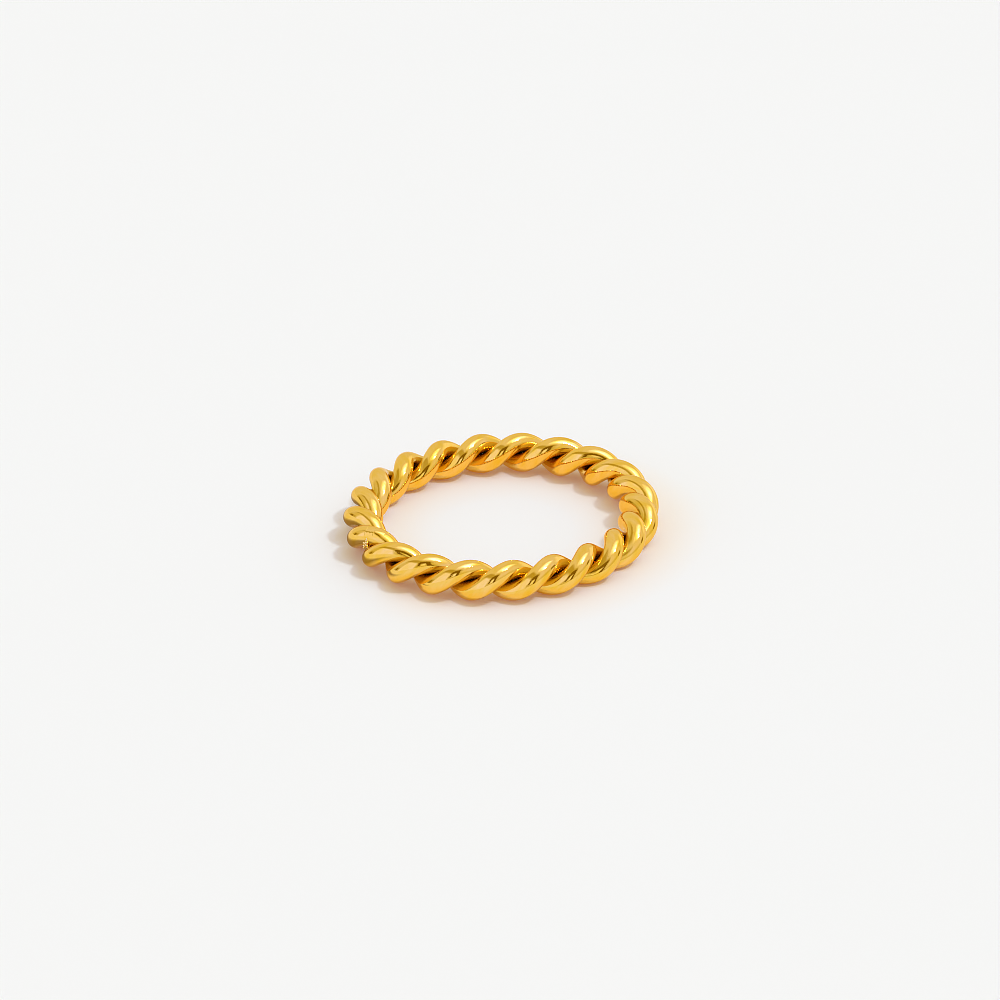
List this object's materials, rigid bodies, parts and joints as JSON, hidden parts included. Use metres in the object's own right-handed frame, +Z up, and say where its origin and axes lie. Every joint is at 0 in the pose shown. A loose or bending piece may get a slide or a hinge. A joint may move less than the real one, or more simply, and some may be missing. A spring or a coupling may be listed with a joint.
{
  "type": "rope twist ring",
  "caption": "Slim finger ring of polished gold-coloured round wire twisted into a rope, bent round and soldered, lying flat.",
  "frame": {"origin": "centre of the ring, on the surface that it lies on", "axes": "+Z up along the ring's axis, +X to the right and +Y away as the ring is seen in the picture"},
  "size_m": [0.0231, 0.0231, 0.0029],
  "materials": {
    "gold": "mirror polished gold surface"
  },
  "bodies": {
    "root": {"twist_band": "gold"}
  },
  "joints": []
}
